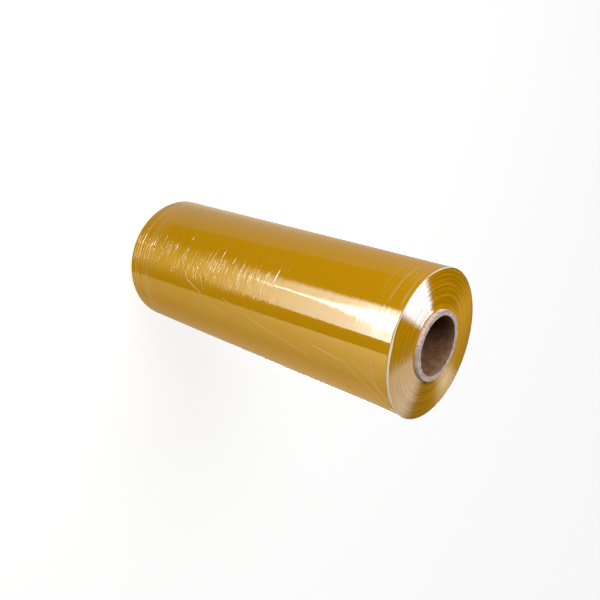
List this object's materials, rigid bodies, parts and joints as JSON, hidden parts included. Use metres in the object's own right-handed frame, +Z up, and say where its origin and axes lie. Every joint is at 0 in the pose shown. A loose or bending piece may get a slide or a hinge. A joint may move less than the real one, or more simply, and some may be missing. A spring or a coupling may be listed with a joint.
{
  "type": "roll of cling film",
  "caption": "Wide roll of clear, amber-tinted cling film wound on a thick cardboard core that stands out a little at both ends.",
  "frame": {"origin": "centre of the core's lower end, on the surface that the roll stands on", "axes": "+Z up along the core, towards the end that the picture shows; the roll is round, so +X and +Y are free"},
  "size_m": [0.1919, 0.192, 0.5],
  "materials": {
    "core_board": "dull grey-brown spiral-wound board with rough cut ends",
    "wound_film": "glossy amber-tinted clear film with fine wrinkles and a brushed look on the wound ends"
  },
  "bodies": {
    "root": {"cardboard_core": "core_board", "film_roll": "wound_film"}
  },
  "joints": []
}
